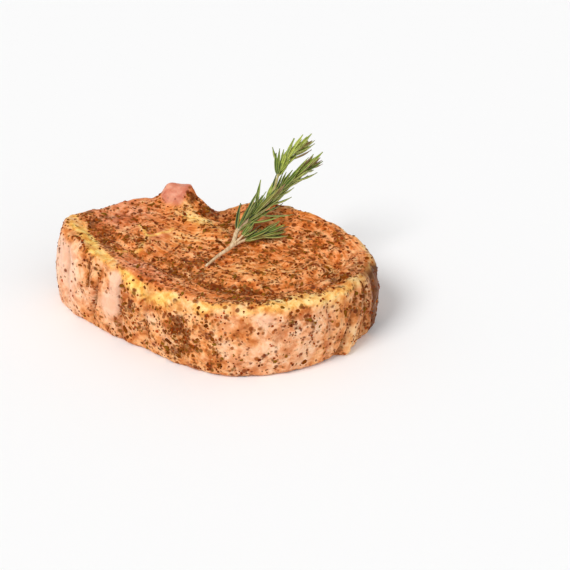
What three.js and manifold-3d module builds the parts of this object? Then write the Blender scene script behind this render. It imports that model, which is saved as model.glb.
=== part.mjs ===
// A thick, seasoned raw pork chop with a sprig of rosemary laid across it.
// Millimetres, +Z up. The origin is in the flat underside, near the middle of the chop.
// +X runs along the chop towards its thin end, and +Y away from the broad face of fat.
import * as THREE from "three";
import { mergeVertices } from "three/addons/utils/BufferGeometryUtils.js";
import Module from "manifold-3d";

const wasm = await Module();
wasm.setup();

// ---- Driving dimensions ------------------------------------------------------------------

// The chop's widest outline, anticlockwise from the thin end, with the rim's height at each point.
const OUTLINE = [
  [85, -5, 35],
  [80, 12, 37],
  [66, 28, 40],
  [43, 42, 43],
  [19, 49, 43.5],
  [0, 47.5, 40],
  [-17, 57, 42.5],
  [-40, 53.5, 44],
  [-62, 41.5, 42.6],
  [-79.5, 32, 45.6],
  [-83.5, 19.5, 45.5],
  [-77.6, 3.1, 44],
  [-56, -18.5, 42],
  [-33, -36.5, 40.5],
  [-12.5, -51.5, 39.5],
  [7.5, -59.9, 39],
  [32, -59.5, 38.5],
  [54, -50, 37.5],
  [69.4, -37.2, 36.5],
  [80.4, -21.5, 35.5],
];
const FOOT_ROUND = 3; // radius of the lower edge
const SHOULDER = { out: 5, down: 6.5 }; // round of the fat rim
const BROAD_END = { at: [-84, 22], reach: 26, shoulder: -1, lean: 4, shelf: 9 }; // sharper there, leaning in
const BELLY = 1.6; // how far the middle of the wall swells
const DISH = { depth: 4.2, reach: 15 }; // the meat sinks this far inside the rim of fat
const SEAM = { inset: 22, depth: 2.4, half: 4.5, fadeFrom: -5, fadeTo: 25 }; // groove along the front rim

// Rounded lumps and hollows of the top face: centre, radii, height.
const TOP_FORMS = [
  { at: [-19.5, 50.5], radii: [9, 8.5], height: 7.5, power: 6 }, // bare muscle end that stands up
  { at: [-34.5, 56], radii: [3.4, 7], height: -2.4, power: 2 }, // notch at its side
  { at: [-9, 47], radii: [9, 8], height: 5, power: 2 }, // its flank
  { at: [4, 38], radii: [12, 13], height: -5, power: 2 }, // hollow beside it
  { at: [-2, 21], radii: [15, 5], height: 3, power: 2, turn: -38 }, // ridge of fat before the hollow
  { at: [-38, 14], radii: [24, 15], height: 2.6, power: 2, turn: 30 }, // swell of the eye muscle
  { at: [-60, 6], radii: [15, 5], height: -2.2, power: 2, turn: -52 }, // hollow behind the left rim
  { at: [30, -22], radii: [26, 9], height: 1.6, power: 2, turn: 8 }, // swell in front
];

// Upright folds of the wall: place on the outline, depth, half width, heights they run between, lean.
const FOLDS = [
  { at: [-75, 0], depth: 1.2, half: 2.6, low: 0.3, high: 0.9, lean: 3 },
  { at: [-61.5, -13], depth: 1.2, half: 2.0, low: 0.6, high: 0.85, lean: 0 },
  { at: [-57.5, -17], depth: 2.2, half: 2.4, low: 0.22, high: 0.58, lean: 18 },
  { at: [-45, -28], depth: 1.6, half: 2.2, low: 0.2, high: 0.7, lean: 2 },
  { at: [-31, -39], depth: 1.3, half: 3.0, low: 0.2, high: 0.75, lean: 3 },
  { at: [-12, -51], depth: 1.2, half: 3.4, low: 0.25, high: 0.75, lean: -3 },
  { at: [59, -46], depth: 1.2, half: 1.3, low: 0.35, high: 0.9, lean: 1 },
  { at: [70.5, -36], depth: 3.0, half: 2.8, low: -0.25, high: 0.55, lean: 24 },
  { at: [74, -32], depth: 1.1, half: 1.6, low: 0.5, high: 1.0, lean: 3 },
  { at: [77, -28], depth: 1.8, half: 3.0, low: -0.3, high: 0.4, lean: 0 },
  { at: [78, -25], depth: 1.4, half: 1.7, low: 0.0, high: 1.0, lean: -2 },
  { at: [81, -17], depth: 1.8, half: 1.8, low: 0.0, high: 1.0, lean: 2 },
  { at: [84, -9], depth: 1.8, half: 1.7, low: 0.0, high: 0.95, lean: 0 },
  { at: [76, 19], depth: 2.0, half: 2.4, low: 0.1, high: 0.9, lean: 3 },
  { at: [33, 46], depth: 1.8, half: 2.6, low: 0.1, high: 0.9, lean: -3 },
  { at: [-9, 50], depth: 2.6, half: 2.6, low: 0.0, high: 1.0, lean: 2 },
  { at: [-51, 48], depth: 1.8, half: 2.4, low: 0.1, high: 0.85, lean: 3 },
];
const LOBE = { at: [67.5, -39.5], out: 2.8, half: 5, level: 0.16, tall: 0.2 }; // flap of fat at the foot

// The drum that is moved onto the chop: how finely it is divided.
const AROUND = 96;
const UNDER_RINGS = [0.75];
const WALL_STEPS = 12;
const FOOT_SHARE = 0.16; // share of the wall's steps that round the lower edge
const SHOULDER_SHARE = 0.3; // share that rounds the rim
const TOP_STEPS = 14;

// The largest flakes of dried herb and cracks of pepper, pressed into the surface.
const FLAKES = { count: 60, length: [2.6, 4.6], width: [1.1, 1.7], thick: 1.1, seed: 1246 };
const CRACKS = { count: 28, length: [1.3, 2.1], width: [1.0, 1.6], thick: 1.2, seed: 181 };
const TOP_SHARE = 0.6; // share of them on the top face
const TOP_REACH = 0.9; // how near the rim those lie
const PROUD = 0.15; // height of a crumb's middle over the surface
const HEADROOM = 1; // air that each leaves below the sprig

// The sprig. Each branch is its line of points, its radii at the start, where it is fullest and at
// the end, the share of its length at which it is fullest, and its needles: the share they start
// from, how many pairs, their length, and their least and greatest spread in degrees.
const SPRIG_SEED = 6;
const GAP = 0.4; // air left between the sprig and the meat
const BRANCHES = [
  {
    line: [[-2, -16.3, 37.5], [4, -6.9, 38.3], [10.5, 1.3, 39.6], [13.7, 14.7, 42.4], [19.6, 20.3, 45.4],
      [25.8, 25.5, 48.7], [31.1, 30.6, 52]],
    radii: [0.6, 1.15, 0.7],
    fullest: 0.36,
    needles: { from: 0.56, pairs: 8, length: [16, 21], spread: [14, 40] },
  },
  {
    line: [[30.4, 30, 51.5], [32.7, 38.9, 55], [35.3, 50.5, 59.5], [39.6, 58.5, 63.5], [46.7, 64.9, 66.5]],
    radii: [0.7, 0.75, 0.4],
    fullest: 0.1,
    needles: { from: 0.42, pairs: 9, length: [12, 18], spread: [8, 40] },
  },
  {
    line: [[30.4, 30, 51.5], [37.5, 41.1, 54.5], [43.4, 47, 57], [50.5, 56.7, 59]],
    radii: [0.65, 0.7, 0.4],
    fullest: 0.1,
    needles: { from: 0.06, pairs: 9, length: [14, 19], spread: [8, 34] },
  },
  {
    line: [[9.9, 0.9, 39.4], [15.9, 6.6, 39.7], [20.4, 9.8, 39.9], [29, 12.6, 41]],
    radii: [0.85, 0.9, 0.4],
    fullest: 0.1,
    needles: { from: 0.4, pairs: 7, length: [13, 18], spread: [6, 38] },
  },
  {
    line: [[10.2, 1, 39.5], [14.9, 6.4, 41.5], [18.3, 10.3, 43.5]],
    radii: [0.65, 0.7, 0.35],
    fullest: 0.1,
    needles: { from: 0.7, pairs: 2, length: [7, 11], spread: [8, 24] },
  },
];
const NEEDLE = { width: 1.7, thick: 0.9, steps: 2, droop: 0.1, bulge: 0.05 };
const FACE_UP = 0.6; // how far a needle's flat side turns from the stem towards the sky
const LAST_NEEDLES_AT = 0.985; // share of the branch
const TIP_SHORTER = 0.35; // needles near the tip lose this share of their length
const TWIST = { start: 0.5, jitter: 0.35 }; // radians round the branch
const SPREAD_POWER = 1.6; // above 1, so that more needles lie near the smaller spread
const LIFTS = [0, 1, 2, 4, 6]; // a needle that meets the meat is raised by one of these, or left out
const STEM_SIDES = 6;

// ---- Small helpers -----------------------------------------------------------------------

const lerp = THREE.MathUtils.lerp;
const smoothstep = THREE.MathUtils.smoothstep;

// A seeded draw from 0 to 1.
function dice(seed) {
  let state = seed >>> 0;
  return () => {
    state = (state + 0x6d2b79f5) >>> 0;
    let t = Math.imul(state ^ (state >>> 15), state | 1);
    t ^= t + Math.imul(t ^ (t >>> 7), t | 61);
    return ((t ^ (t >>> 14)) >>> 0) / 4294967296;
  };
}

const between = (roll, [low, high]) => lerp(low, high, roll());

// A closed three.js geometry as a manifold solid.
function solidOf(geometry) {
  const bare = geometry.clone();
  bare.deleteAttribute("normal");
  bare.deleteAttribute("uv");
  const merged = mergeVertices(bare, 1e-4);
  return new wasm.Manifold(
    new wasm.Mesh({
      numProp: 3,
      vertProperties: new Float32Array(merged.attributes.position.array),
      triVerts: new Uint32Array(merged.index.array),
    }),
  );
}

// The largest body of a solid, as a geometry with flat normals.
function geometryOf(solid) {
  const bodies = solid.decompose().sort((a, b) => b.volume() - a.volume());
  const mesh = bodies[0].getMesh();
  const geometry = new THREE.BufferGeometry();
  geometry.setAttribute("position", new THREE.BufferAttribute(mesh.vertProperties, 3));
  geometry.setIndex(new THREE.BufferAttribute(mesh.triVerts, 1));
  geometry.computeVertexNormals();
  return geometry;
}

function moveVertices(geometry, place) {
  const position = geometry.attributes.position;
  const point = new THREE.Vector3();
  for (let i = 0; i < position.count; i++) {
    point.fromBufferAttribute(position, i);
    place(point);
    position.setXYZ(i, point.x, point.y, point.z);
  }
  return geometry;
}

// ---- The chop's form ---------------------------------------------------------------------

const outline = new THREE.CatmullRomCurve3(
  OUTLINE.map(([x, y, z]) => new THREE.Vector3(x, y, z)),
  true,
  "catmullrom",
  0.5,
);
const OUTLINE_LENGTH = outline.getLength();

// The outline as evenly spaced stations, each with the rim's height and the way out of the chop.
const stations = outline.getSpacedPoints(AROUND * 2).slice(0, -1);
stations.forEach((point, i) => {
  const next = stations[(i + 1) % stations.length];
  const last = stations[(i + stations.length - 1) % stations.length];
  const along = new THREE.Vector2(next.x - last.x, next.y - last.y).normalize();
  point.out = new THREE.Vector2(along.y, -along.x);
  point.share = i / stations.length;
});

// Signed way along the outline, in millimetres, from the station nearest to a place.
function alongOutline(share, [x, y]) {
  const flat = (p) => (p.x - x) ** 2 + (p.y - y) ** 2;
  const nearest = stations.reduce((best, p) => (flat(p) < flat(best) ? p : best));
  const turn = share - nearest.share;
  return (turn - Math.round(turn)) * OUTLINE_LENGTH;
}

const bell = (x, half) => Math.exp(-((x / half) ** 2));

// 1 at the broad end of the chop, and nothing away from it.
const broadEnd = ({ x, y }) => bell(Math.hypot(x - BROAD_END.at[0], y - BROAD_END.at[1]), BROAD_END.reach);

const shoulderOut = (point) => SHOULDER.out + BROAD_END.shoulder * broadEnd(point);

// Long, low waves that keep the surface uneven.
function unevenness(x, y, z) {
  return (
    0.45 * Math.sin(0.21 * x + 0.13 * y + 1.3) * Math.sin(0.17 * y - 0.2 * z) +
    0.35 * Math.sin(0.33 * x - 0.29 * y + 0.31 * z) +
    0.25 * Math.sin(0.55 * x + 0.47 * y - 0.4 * z + 2.1)
  );
}

function topForm(form, x, y) {
  const turn = THREE.MathUtils.degToRad(form.turn ?? 0);
  const dx = x - form.at[0];
  const dy = y - form.at[1];
  const along = (dx * Math.cos(turn) + dy * Math.sin(turn)) / form.radii[0];
  const across = (dy * Math.cos(turn) - dx * Math.sin(turn)) / form.radii[1];
  return form.height * Math.exp(-(Math.hypot(along, across) ** form.power));
}

// Height of the top face over a place in plan.
function topHeight(x, y) {
  let weights = 0;
  let rim = 0;
  let nearest = stations[0];
  let inset = Infinity;
  for (const p of stations) {
    const reach = Math.hypot(p.x - x, p.y - y);
    const weight = 1 / (reach + 1) ** 3;
    weights += weight;
    rim += weight * p.z;
    if (reach < inset) {
      inset = reach;
      nearest = p;
    }
  }
  const inside = Math.max(0, inset - shoulderOut(nearest) - BROAD_END.shelf * broadEnd(nearest));
  const dish = DISH.depth * (1 - bell(inside, DISH.reach));
  const front = 1 - smoothstep(nearest.y, SEAM.fadeFrom, SEAM.fadeTo);
  const seam = SEAM.depth * front * bell(inset - SEAM.inset, SEAM.half);
  const forms = TOP_FORMS.reduce((sum, form) => sum + topForm(form, x, y), 0);
  return rim / weights - dish - seam + forms + unevenness(x, y, 0);
}

// How far folds and the flap at the foot move the wall outwards.
function wallRelief(share, level) {
  let out = 0;
  for (const fold of FOLDS) {
    const way = alongOutline(share, fold.at) - fold.lean * (level - 0.5);
    const middle = (fold.low + fold.high) / 2;
    const run = bell(level - middle, 0.75 * (fold.high - fold.low));
    out -= fold.depth * bell(way, fold.half) * run;
  }
  return out + LOBE.out * bell(alongOutline(share, LOBE.at), LOBE.half) * bell(level - LOBE.level, LOBE.tall);
}

// Inset and height of the wall at a level from 0, where the underside ends, to 1, on the rim.
function wallSection(station, level) {
  const wide = shoulderOut(station);
  const lean = BROAD_END.lean * broadEnd(station);
  const top = station.z - SHOULDER.down;
  if (level < FOOT_SHARE) {
    const turn = (Math.PI / 2) * (level / FOOT_SHARE);
    return { inset: FOOT_ROUND * (1 - Math.sin(turn)), z: FOOT_ROUND * (1 - Math.cos(turn)) };
  }
  if (level > 1 - SHOULDER_SHARE) {
    const turn = (Math.PI / 2) * ((level - 1 + SHOULDER_SHARE) / SHOULDER_SHARE);
    return { inset: lean + wide * (1 - Math.cos(turn)), z: top + SHOULDER.down * Math.sin(turn) };
  }
  const rise = (level - FOOT_SHARE) / (1 - FOOT_SHARE - SHOULDER_SHARE);
  return { inset: lean * rise - BELLY * Math.sin(Math.PI * rise), z: lerp(FOOT_ROUND, top, rise) };
}

// A point of the wall, or of the rounds above and below it.
function wallPoint(station, level) {
  const { inset, z } = wallSection(station, level);
  const rough = Math.sqrt(Math.sin(Math.PI * level)) * unevenness(station.x, station.y, z);
  const calm = smoothstep(level, 0, 0.06) * (1 - smoothstep(level, 0.9, 1));
  const out = calm * wallRelief(station.share, level) + rough - inset;
  return new THREE.Vector3(station.x + station.out.x * out, station.y + station.out.y * out, z);
}

// Moves a point of the unit drum onto the chop.
function ontoChop(point) {
  const turn = Math.atan2(point.y, point.x) / (2 * Math.PI);
  const station = stations[Math.round((turn + 1) * stations.length) % stations.length];
  const reach = Math.hypot(point.x, point.y);
  const level = THREE.MathUtils.clamp(point.z, 0, 1);
  const wall = wallPoint(station, level);
  const x = wall.x * reach;
  const y = wall.y * reach;
  const ontoTop = smoothstep(level, 1 - SHOULDER_SHARE, 1);
  point.set(x, y, wall.z + ontoTop * (topHeight(x, y) - station.z));
}

// A drum of radius 1 and height 1, turned from its half section.
function unitDrum() {
  const section = [new THREE.Vector2(0, 0)];
  UNDER_RINGS.forEach((reach) => section.push(new THREE.Vector2(reach, 0)));
  for (let i = 0; i <= WALL_STEPS; i++) section.push(new THREE.Vector2(1, i / WALL_STEPS));
  for (let i = TOP_STEPS - 1; i > 0; i--) section.push(new THREE.Vector2(i / TOP_STEPS, 1));
  section.push(new THREE.Vector2(0, 1));
  return new THREE.LatheGeometry(section, AROUND).rotateX(Math.PI / 2);
}

// ---- Seasoning pressed into the chop ------------------------------------------------------

// A place on the chop's outside, with the way out of it. Most lie on the top face.
function surfacePlace(roll) {
  const station = stations[Math.floor(roll() * stations.length)];
  const onTop = roll() < TOP_SHARE;
  const share = roll();
  if (onTop) {
    const reach = TOP_REACH * Math.sqrt(share);
    const x = station.x * reach;
    const y = station.y * reach;
    return { at: new THREE.Vector3(x, y, topHeight(x, y)), out: new THREE.Vector3(0, 0, 1) };
  }
  const at = wallPoint(station, lerp(FOOT_SHARE, 1 - SHOULDER_SHARE, share));
  return { at, out: new THREE.Vector3(station.out.x, station.out.y, 0) };
}

// A low-sided crumb, laid on the surface and sunk into it.
function crumb(roll, length, width, thick) {
  const { at, out } = surfacePlace(roll);
  const lie = new THREE.Quaternion().setFromUnitVectors(new THREE.Vector3(0, 0, 1), out);
  const spin = new THREE.Quaternion().setFromAxisAngle(out, roll() * Math.PI * 2);
  return new THREE.IcosahedronGeometry(0.5, 0)
    .scale(length, width, thick)
    .applyQuaternion(lie)
    .applyQuaternion(spin)
    .translate(...at.addScaledVector(out, PROUD));
}

function crumbs({ count, length, width, thick, seed }) {
  const roll = dice(seed);
  return Array.from({ length: count }, () => crumb(roll, between(roll, length), between(roll, width), thick));
}

const core = solidOf(moveVertices(unitDrum(), ontoChop));

// ---- The sprig of rosemary ----------------------------------------------------------------

// Bends a geometry that stands along Z from 0 to 1 onto a curve. side is its X direction.
function alongCurve(geometry, curve, side) {
  return moveVertices(geometry, (point) => {
    const t = THREE.MathUtils.clamp(point.z, 0, 1);
    const middle = curve.getPoint(t);
    const ahead = curve.getTangent(t);
    const up = new THREE.Vector3().crossVectors(ahead, side).normalize();
    const across = new THREE.Vector3().crossVectors(up, ahead);
    const { x, y } = point;
    point.copy(middle).addScaledVector(across, x).addScaledVector(up, y);
  });
}

// Radius of a branch's stem at a share of its length.
function stemRadius({ radii: [start, full, end], fullest }, t) {
  return t < fullest ? lerp(start, full, t / fullest) : lerp(full, end, (t - fullest) / (1 - fullest));
}

function stem(curve, branch) {
  const rod = new THREE.CylinderGeometry(1, 1, 1, STEM_SIDES, branch.line.length * 2 - 2)
    .rotateX(Math.PI / 2)
    .translate(0, 0, 0.5);
  moveVertices(rod, (p) => p.set(p.x * stemRadius(branch, p.z), p.y * stemRadius(branch, p.z), p.z));
  return alongCurve(rod, curve, new THREE.Vector3(0, 0, 1));
}

// Half width of a needle at a share of its length: a short stalk, a long blade, a blunt point.
const needleTaper = (t) => lerp(0.5, 1, smoothstep(t, 0, 0.3)) * lerp(1, 0.35, smoothstep(t, 0.6, 1));

// A needle from a root on the stem, with its tip lifted by so much. off points away from the stem.
function needle(root, way, length, off, side, raised) {
  const tip = root.clone().addScaledVector(way, length);
  tip.z = Math.max(tip.z, topHeight(tip.x, tip.y) + NEEDLE.width / 2 + GAP) + raised;
  const middle = root.clone().lerp(tip, 0.5).addScaledVector(off, NEEDLE.bulge * length);
  middle.z -= NEEDLE.droop * length * 0.5 - raised;
  const curve = new THREE.QuadraticBezierCurve3(root, middle, tip);
  const blade = new THREE.BoxGeometry(NEEDLE.width, NEEDLE.thick, 1, 1, 1, NEEDLE.steps).translate(0, 0, 0.5);
  moveVertices(blade, (p) => p.set(p.x * needleTaper(p.z), p.y * needleTaper(p.z), p.z));
  return alongCurve(blade, curve, side);
}

// True when a piece, let down by the gap, stays off the meat.
const clearsMeat = (geometry) => solidOf(geometry.clone().translate(0, 0, -GAP)).intersect(core).isEmpty();

function branchNeedles(curve, branch, roll) {
  const needles = branch.needles;
  const made = [];
  for (let i = 0; i < needles.pairs; i++) {
    const t = lerp(needles.from, LAST_NEEDLES_AT, i / (needles.pairs - 1));
    const ahead = curve.getTangentAt(t);
    const flat = new THREE.Vector3(0, 0, 1).cross(ahead).normalize();
    for (const half of [0, 1]) {
      const crossed = (Math.PI / 2) * (i % 2);
      const turn = TWIST.start + Math.PI * half + crossed + TWIST.jitter * lerp(-1, 1, roll());
      const off = flat.clone().applyAxisAngle(ahead, turn);
      const root = curve.getPointAt(t).addScaledVector(off, 0.5 * stemRadius(branch, t));
      const spread = THREE.MathUtils.degToRad(lerp(...needles.spread, roll() ** SPREAD_POWER));
      const way = ahead.clone().multiplyScalar(Math.cos(spread)).addScaledVector(off, Math.sin(spread));
      const length = between(roll, needles.length) * (1 - TIP_SHORTER * smoothstep(t, 0.75, 1));
      const side = new THREE.Vector3().crossVectors(ahead, off).normalize();
      const level = new THREE.Vector3(0, 0, 1).cross(way).normalize();
      side.lerp(level.multiplyScalar(side.dot(level) < 0 ? -1 : 1), FACE_UP).normalize();
      const clear = LIFTS.map((raised) => needle(root, way, length, off, side, raised)).find(clearsMeat);
      if (clear) made.push(clear);
    }
  }
  return made;
}

function sprigSolid() {
  const roll = dice(SPRIG_SEED);
  const pieces = [];
  for (const branch of BRANCHES) {
    const line = branch.line.map(([x, y, z], i) => {
      const radius = stemRadius(branch, i / (branch.line.length - 1));
      return new THREE.Vector3(x, y, Math.max(z, topHeight(x, y) + radius + GAP));
    });
    const curve = new THREE.CatmullRomCurve3(line);
    pieces.push(stem(curve, branch));
    pieces.push(...branchNeedles(curve, branch, roll));
  }
  return pieces.map(solidOf).reduce((whole, piece) => whole.add(piece));
}

// ---- The pieces ---------------------------------------------------------------------------

const sprigForm = sprigSolid();

// The chop with its larger flakes and cracks, where they are clear of the sprig.
function chopSolid() {
  const clearOfSprig = (crumb) =>
    [0, HEADROOM].every((up) => sprigForm.intersect(solidOf(crumb.clone().translate(0, 0, up))).isEmpty());
  return [...crumbs(FLAKES), ...crumbs(CRACKS)]
    .filter(clearOfSprig)
    .reduce((whole, crumb) => whole.add(solidOf(crumb)), core);
}

const part = new THREE.Group();

const chopMesh = new THREE.Mesh(
  geometryOf(chopSolid()),
  new THREE.MeshStandardMaterial({ color: 0xd9945a, roughness: 0.42, metalness: 0 }),
);
chopMesh.name = "chop";
part.add(chopMesh);

const sprigMesh = new THREE.Mesh(
  geometryOf(sprigForm),
  new THREE.MeshStandardMaterial({ color: 0x5f7a35, roughness: 0.55, metalness: 0 }),
);
sprigMesh.name = "rosemary_sprig";
part.add(sprigMesh);

export default part;
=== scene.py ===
"""A thick raw pork chop, rubbed with oil, herbs and pepper, under a sprig of rosemary.

Lengths are in millimetres until a mesh is finished, and MM then brings it to metres. Materials
read Object coordinates, so their lengths are in metres.
"""

from collections import namedtuple
from math import cos, exp, hypot, pi, radians, sin, sqrt
from types import SimpleNamespace as Sizes

import bmesh
import bpy
import numpy as np
from bmesh import ops
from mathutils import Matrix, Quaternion, Vector, noise
from mathutils.bvhtree import BVHTree
from mathutils.kdtree import KDTree


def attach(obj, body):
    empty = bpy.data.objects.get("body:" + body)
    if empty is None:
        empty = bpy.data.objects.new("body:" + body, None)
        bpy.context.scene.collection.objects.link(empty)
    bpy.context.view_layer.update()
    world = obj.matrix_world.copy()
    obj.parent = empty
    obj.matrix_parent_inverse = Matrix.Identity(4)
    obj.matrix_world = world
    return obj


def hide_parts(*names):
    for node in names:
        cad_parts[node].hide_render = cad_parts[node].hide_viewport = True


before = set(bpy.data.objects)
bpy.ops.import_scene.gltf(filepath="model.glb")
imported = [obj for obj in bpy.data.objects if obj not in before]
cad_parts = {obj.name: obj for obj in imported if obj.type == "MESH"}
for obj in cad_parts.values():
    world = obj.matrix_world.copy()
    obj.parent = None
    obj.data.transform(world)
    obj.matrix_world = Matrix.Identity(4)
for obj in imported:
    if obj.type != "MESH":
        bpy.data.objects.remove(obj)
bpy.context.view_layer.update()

MM = 0.001
UP = Vector((0, 0, 1))

# ---- Sizes of the chop ----

# Widest outline, anticlockwise from the thin end: x, y, height of the rim, and how far in from the
# rim its band of yellow fat begins and ends. Below nothing is down the wall.
OUTLINE = [
    (85, -5, 35, -4, 3), (80, 12, 37, -4, 3), (66, 28, 40, -3, 3), (43, 42, 43, -3, 3),
    (19, 49, 43.5, -3, 3), (0, 47.5, 40, -2, 2), (-17, 57, 42.5, 0, 0.5), (-40, 53.5, 44, -1, 1),
    (-62, 41.5, 42.6, -1, 1), (-79.5, 32, 45.6, 3, 12), (-83.5, 19.5, 45.5, 7.5, 16),
    (-77.6, 3.1, 44, 9.5, 16.5), (-56, -18.5, 42, 1.5, 8), (-33, -36.5, 40.5, -7, 0),
    (-12.5, -51.5, 39.5, -7, 0.5), (7.5, -59.9, 39, -3, 3), (32, -59.5, 38.5, 0, 6.5),
    (54, -50, 37.5, 0, 6.5), (69.4, -37.2, 36.5, -1.5, 5.5), (80.4, -21.5, 35.5, -3, 4),
]
FOOT_ROUND = 3
SHOULDER = Sizes(out=5, down=6.5)  # round of the fat rim
# Sharper there, leaning in, with a shelf before the dish.
BROAD_END = Sizes(at=(-84, 22), reach=26, shoulder=-1, lean=4, shelf=9)
BELLY = 1.6  # swell of the wall
DISH = Sizes(depth=4.2, reach=15)  # inside the rim of fat
SEAM = Sizes(inset=22, depth=2.4, half=4.5, fade=(-5, 25))  # groove along the front rim

# Lumps and hollows of the top: centre, radii, height, power, turn in degrees.
TOP_FORMS = [
    ((-19.5, 50.5), (9, 8.5), 7.5, 6, 0), ((-34.5, 56), (3.4, 7), -2.4, 2, 0),
    ((-9, 47), (9, 8), 5, 2, 0), ((4, 38), (12, 13), -5, 2, 0), ((-2, 21), (15, 5), 3, 2, -38),
    ((-38, 14), (24, 15), 2.6, 2, 30), ((-60, 6), (15, 5), -2.2, 2, -52),
    ((30, -22), (26, 9), 1.6, 2, 8),
]

# Upright folds of the wall: place, depth, half width, lowest and highest level, lean. A level is
# 0 at the foot and 1 where the rim's round meets the top.
FOLDS = [
    ((-75, 0), 1.2, 2.6, 0.3, 0.9, 3), ((-61.5, -13), 1.2, 2, 0.6, 0.85, 0),
    ((-57.5, -17), 2.2, 2.4, 0.22, 0.58, 18), ((-45, -28), 1.6, 2.2, 0.2, 0.7, 2),
    ((-31, -39), 1.3, 3, 0.2, 0.75, 3), ((-12, -51), 1.2, 3.4, 0.25, 0.75, -3),
    ((59, -46), 1.2, 1.3, 0.35, 0.9, 1), ((70.5, -36), 3, 2.8, -0.25, 0.55, 24),
    ((74, -32), 1.1, 1.6, 0.5, 1, 3), ((77, -28), 1.8, 3, -0.3, 0.4, 0),
    ((78, -25), 1.4, 1.7, 0, 1, -2), ((81, -17), 1.8, 1.8, 0, 1, 2),
    ((84, -9), 1.8, 1.7, 0, 0.95, 0), ((76, 19), 2, 2.4, 0.1, 0.9, 3),
    ((33, 46), 1.8, 2.6, 0.1, 0.9, -3), ((-9, 50), 2.6, 2.6, 0, 1, 2),
    ((-51, 48), 1.8, 2.4, 0.1, 0.85, 3),
]
FOLD_REACH = 0.75  # share of its height within which a fold fades
DEEPEST = 2.8  # a fold this deep has its full colour
LOBE = Sizes(at=(67.5, -39.5), out=2.8, half=5, level=0.16, tall=0.2)  # flap of fat
SMOOTH_FOOT, SMOOTH_BROW = 0.06, 0.9  # levels beyond which the folds run out

FOOT_SHARE = 0.16  # share of the levels in the round of the foot
SHOULDER_SHARE = 0.3  # and in the round of the rim
SOLID_STATIONS = 192  # columns round the solid's wall
AROUND = 3 * SOLID_STATIONS
UNDER_STEPS, WALL_STEPS, TOP_STEPS = 8, 60, 80
CURVE_SAMPLES = 201
TANGENT_REACH = 3  # stations each way
AT_ONCE = 8000  # places
TINY = 1e-6
STEP = 1e-4

# ---- Small helpers ----


def smooth(x, low, high):
    """From 0 at low to 1 at high, level at both."""
    t = np.clip((np.asarray(x, float) - low) / (high - low), 0, 1)
    return t * t * (3 - 2 * t)


def bell(x, half):
    """1 in the middle, fading out on both sides."""
    return np.exp(-((x / half) ** 2))


def dice(seed):
    """A seeded draw from 0 to 1, the same as the solid's."""
    state = seed & 0xFFFFFFFF

    def roll():
        nonlocal state
        state = (state + 0x6D2B79F5) & 0xFFFFFFFF
        t = ((state ^ (state >> 15)) * (state | 1)) & 0xFFFFFFFF
        t ^= (t + (((t ^ (t >> 7)) * (t | 61)) & 0xFFFFFFFF)) & 0xFFFFFFFF
        return ((t ^ (t >> 14)) & 0xFFFFFFFF) / 4294967296

    return roll


def between(roll, limits):
    return limits[0] + (limits[1] - limits[0]) * roll()


def lengths_along(points):
    """How far along a line each of its points lies."""
    return np.concatenate([[0], np.cumsum(np.linalg.norm(np.diff(points, axis=0), axis=1))])


def cubic(start, end, into, off, w):
    """A curve that leaves start along into and reaches end along off."""
    second = 3 * (end - start) - 2 * into - off
    third = 2 * (start - end) + into + off
    return start + w * into + w**2 * second + w**3 * third


def as_mesh(name, shape):
    mesh = bpy.data.meshes.new(name)
    shape.to_mesh(mesh)
    shape.free()
    return mesh


def placed(name, data):
    made = bpy.data.objects.new(name, data)
    bpy.context.scene.collection.objects.link(made)
    return made


def edges_along(axis, shape):
    """The edges of a form 1 across that run along an axis."""
    return [e for e in shape.edges if abs(e.verts[0].co[axis] - e.verts[1].co[axis]) > 0.5]


def coordinates(mesh):
    found = np.empty(len(mesh.vertices) * 3, np.float32)
    mesh.vertices.foreach_get("co", found)
    return found.reshape(-1, 3).astype(float)


def set_coordinates(mesh, places):
    mesh.vertices.foreach_set("co", np.asarray(places, np.float32).ravel())
    mesh.update()


def finished(name, mesh, material, node=None):
    """Brings a mesh to metres and makes it a piece. One that replaces a node is shaded smooth."""
    set_coordinates(mesh, coordinates(mesh) * MM)
    piece = placed(name, mesh)
    mesh.materials.append(material)
    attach(piece, "root")
    if node:
        mesh.shade_smooth()
        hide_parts(node)


# ---- The chop's form ----


def outline_at(shares):
    """The outline's columns at shares of its length, by a Catmull-Rom spline."""
    points = np.array(OUTLINE, float)
    u = np.asarray(shares, float) * len(points)
    i = np.floor(u).astype(int)
    w = (u - i)[:, None]
    a, b, c, d = (points[(i + k) % len(points)] for k in (-1, 0, 1, 2))
    return cubic(b, c, (c - a) / 2, (d - b) / 2, w)


ROUGH_SHARES = np.linspace(0, 1, CURVE_SAMPLES)
WAY = lengths_along(outline_at(ROUGH_SHARES)[:, :3])
STATIONS = outline_at(np.interp(np.arange(AROUND) / AROUND * WAY[-1], WAY, ROUGH_SHARES))
BEFORE, BEHIND = (np.roll(STATIONS[:, :2], k, axis=0) for k in (-TANGENT_REACH, TANGENT_REACH))
ALONG = (BEFORE - BEHIND) / np.linalg.norm(BEFORE - BEHIND, axis=1, keepdims=True)
OUT = np.stack([ALONG[:, 1], -ALONG[:, 0]], axis=1)
BROAD = bell(np.hypot(*(STATIONS[:, :2] - BROAD_END.at).T), BROAD_END.reach)
SHOULDER_OUT = SHOULDER.out + BROAD_END.shoulder * BROAD


def way_along(index, place):
    """Signed way along the outline from the station nearest to a place."""
    nearest = np.argmin(np.hypot(STATIONS[:, 0] - place[0], STATIONS[:, 1] - place[1]))
    turn = (np.asarray(index) - nearest) / AROUND
    return (turn - np.rint(turn)) * WAY[-1]


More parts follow.
